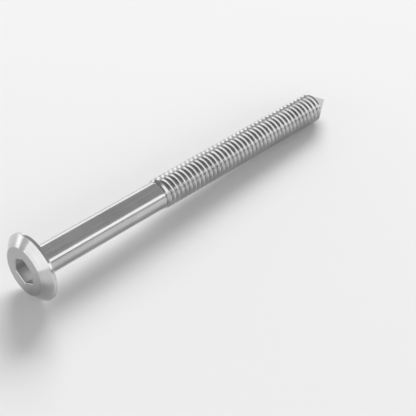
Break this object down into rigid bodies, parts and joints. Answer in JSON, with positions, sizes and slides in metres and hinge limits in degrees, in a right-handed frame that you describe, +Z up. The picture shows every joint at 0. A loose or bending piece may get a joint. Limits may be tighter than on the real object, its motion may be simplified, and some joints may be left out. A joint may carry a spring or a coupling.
{
  "type": "furniture connector bolt",
  "caption": "Long furniture connector bolt with a bevelled flat head, hexagon socket, conical neck, plain shank and coarse thread ending in a pilot point.",
  "frame": {"origin": "on the floor, under the middle of the bolt as it lies at rest", "axes": "+X along the bolt from the point towards the head, level with the floor, and +Z up; the bolt's own axis dips towards the point by about 2.74 degrees, because the head is wider than the thread"},
  "size_m": [0.103, 0.017, 0.017],
  "materials": {
    "plated_steel": "bright plated steel"
  },
  "bodies": {
    "root": {"connector_bolt": "plated_steel"}
  },
  "joints": []
}
